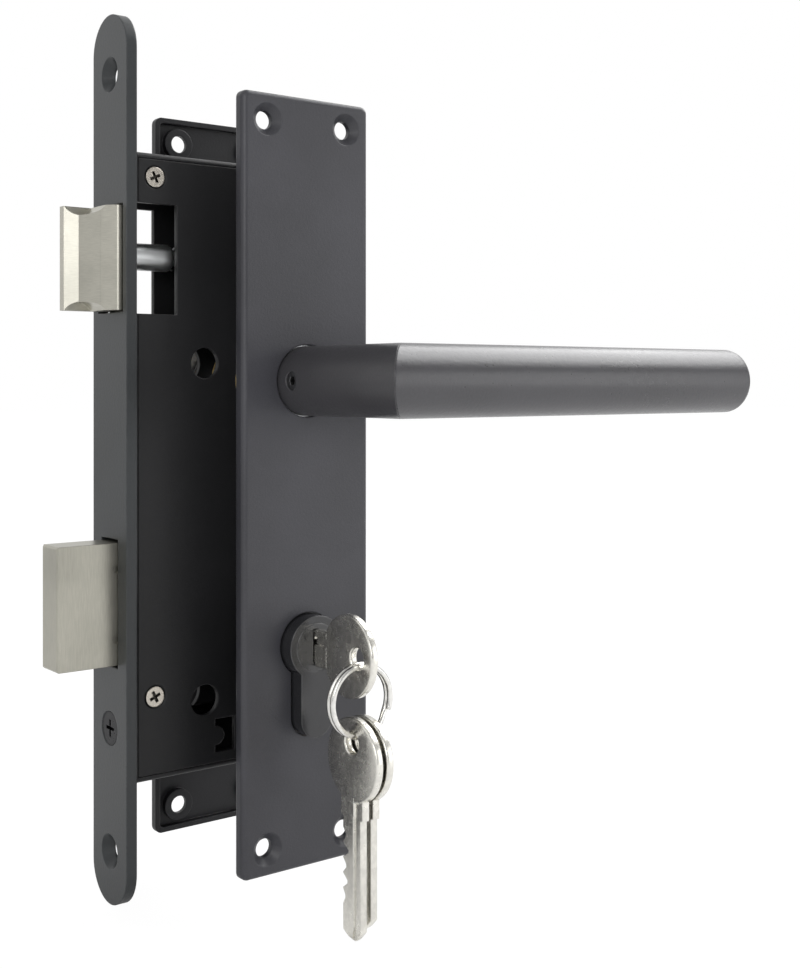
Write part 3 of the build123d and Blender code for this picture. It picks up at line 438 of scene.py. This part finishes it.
def key_blade(length):
    """Section carried along the blade: a flat with one groove in each side. Its upper half is stretched to the top
    edge and its lower half to the cut edge, which drops into a flat-bottomed notch at each pin."""
    collar = [blade_start, collar_end - collar_slope, collar_end]
    notches = [place + cut_outline for place in cut_places]
    tip = list(length - tip_steps)
    even = np.linspace(blade_start, length, 90)
    along = np.unique(np.round(np.concatenate((collar, *notches, tip, even)), 7))
    halves = [collar_half, collar_half, blade_half, blade_half]
    top = np.interp(along, [*collar, tip[0], *tip[2:]], [*halves, *tip_top])
    base = np.interp(along, [*collar, *tip[1:]], [*halves, *tip_base])
    for notch, depth in zip(notches, cut_depths):
        base -= np.interp(along, notch, (0, depth, depth, 0))
    heights = (-blade_half, blade_edge - blade_half, *groove_levels, blade_half - blade_edge, blade_half)
    level = np.array(heights) / blade_half
    depth_in = np.array((blade_edge, 0.0, 0.0, groove_depth, groove_depth, 0.0, 0.0, blade_edge))
    side = key_thick / 2 - blade_inset - depth_in
    thin = np.interp(along, (blade_start, length - tip_thinned, length), (1.0, 1.0, tip_thickness))[:, None]
    half_loop = np.where(level > 0, level * top[:, None], level * base[:, None])
    up = np.concatenate((half_loop, half_loop[:, ::-1]), axis=1)
    through = np.concatenate((side, -side[::-1]))[None, :] * thin
    return np.stack((through, along[:, None] + 0 * up, up), axis=-1)


def key(name, node, body, centre, length, hanging=False):
    """Bow and blade round that centre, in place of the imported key. A hanging one is turned so that its blade
    points down and its cuts face the door."""
    shells = [(key_bow(), True), (key_blade(length), False)]
    if hanging:
        shells = [(-grid[..., [0, 2, 1]], loop) for grid, loop in shells]
    piece = skin(name, [(grid + centre, loop) for grid, loop in shells])
    piece.data.materials.append(key_nickel)
    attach(piece, body)
    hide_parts(node)


key_nickel = metal("key_nickel", (0.84, 0.82, 0.76), rough=0.25, lines=(900, 700, 700), wear_and_highlight=0.5)
key("key_in_lock", "key_in_plug", "key", (0.046, -0.0463, -0.05), key_length)
key("spare_key_front", "hanging_key_front", "spare_keys", (0.04435, -0.05075, hole_height), long_key_length,
    hanging=True)
key("spare_key_back", "hanging_key_back", "spare_keys", (0.04765, -0.05075, hole_height), key_length,
    hanging=True)


# The split ring: spring steel wire of nearly square section, wound twice round and nickel plated. The turns lie
# side by side, and the wire steps from one to the other where its two ends stop short.
ring_middle = (0.046, -0.05075, -0.06075)
ring_radius = 0.00915
wire_half = 0.0007
wire_flat = 0.96
corner_power = 0.75
turn_gap = 0.0015
end_slope = 0.04
end_share = 0.7
step_turn = np.radians(20.0)
step_place = np.radians(-42.0)


def split_ring():
    """Rounded square carried twice round a circle, thinner at its two ends. Its place across the ring goes from
    one turn to the other as a smooth step of the angle, over the stretch that the two ends leave free."""
    first, last = step_turn, 4 * np.pi - step_turn
    wound = np.linspace(first, last, 300)[:, None]
    share = np.clip((wound - 2 * np.pi + step_turn) / (2 * step_turn), 0, 1)
    beside = turn_gap * (share * share * (3 - 2 * share) - 0.5)
    angle = np.linspace(0, 2 * np.pi, 20, endpoint=False)[None, :]
    cosine, sine = np.cos(angle), np.sin(angle)
    taper = np.interp(wound, (first, first + end_slope, last - end_slope, last), (end_share, 1, 1, end_share))
    out = ring_radius + wire_half * taper * np.sign(cosine) * np.abs(cosine) ** corner_power
    across = beside + wire_half * wire_flat * taper * np.sign(sine) * np.abs(sine) ** corner_power
    around = wound + step_place
    return np.stack((out * np.cos(around), across, out * np.sin(around)), axis=-1)


ring_nickel = metal("ring_nickel", (0.82, 0.81, 0.78), rough=0.18, lines=(600, 900, 600), wear_and_highlight=0.3)
ring = skin("split_ring", [(split_ring() + ring_middle, False)])
ring.data.materials.append(ring_nickel)
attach(ring, "ring")
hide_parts("key_ring")


# The three springs in the case, wound from hardened wire: they push the latch out, turn the follower back and
# press the lock lever down.
spring_wire = metal("spring_wire", (0.36, 0.36, 0.37), rough=0.3, lines=(1500, 1500, 1500), wear_and_highlight=0.3)


def wound_spring(node, foot, axis, radius, wire, length, turns):
    """Round wire of radius wire carried up a helix: the helix's radius stays, and the wire's middle rises evenly
    from one wire's radius above the foot to as much below the top. With its axis along X, the helix is laid on its
    side."""
    turned = np.linspace(0, 2 * np.pi * turns, 24 * turns + 1)[:, None]
    around = np.linspace(0, 2 * np.pi, 10, endpoint=False)[None, :]
    out = radius + wire * np.cos(around)
    up = wire + (length - 2 * wire) * turned / (2 * np.pi * turns) + wire * np.sin(around)
    side, front = out * np.cos(turned), out * np.sin(turned)
    grid = np.stack((up, front, -side) if axis[0] else (side, front, up), axis=-1)
    spring = skin(node + "_wire", [(grid + foot, False)])
    spring.data.materials.append(spring_wire)
    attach(spring, "lock")
    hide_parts(node)
    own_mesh(spring)


wound_spring("latch_spring", foot=(0.0183, 0.0, 0.0557), axis=(1, 0, 0), radius=0.0031, wire=0.00035,
             length=0.0199, turns=7)
wound_spring("follower_spring", foot=(0.059, 0.0, -0.0009), axis=(0, 0, 1), radius=0.0026, wire=0.0004,
             length=0.0197, turns=8)
wound_spring("lock_lever_spring", foot=(0.045, -0.0032, -0.0194), axis=(0, 0, 1), radius=0.0015, wire=0.00025,
             length=0.01005, turns=6)
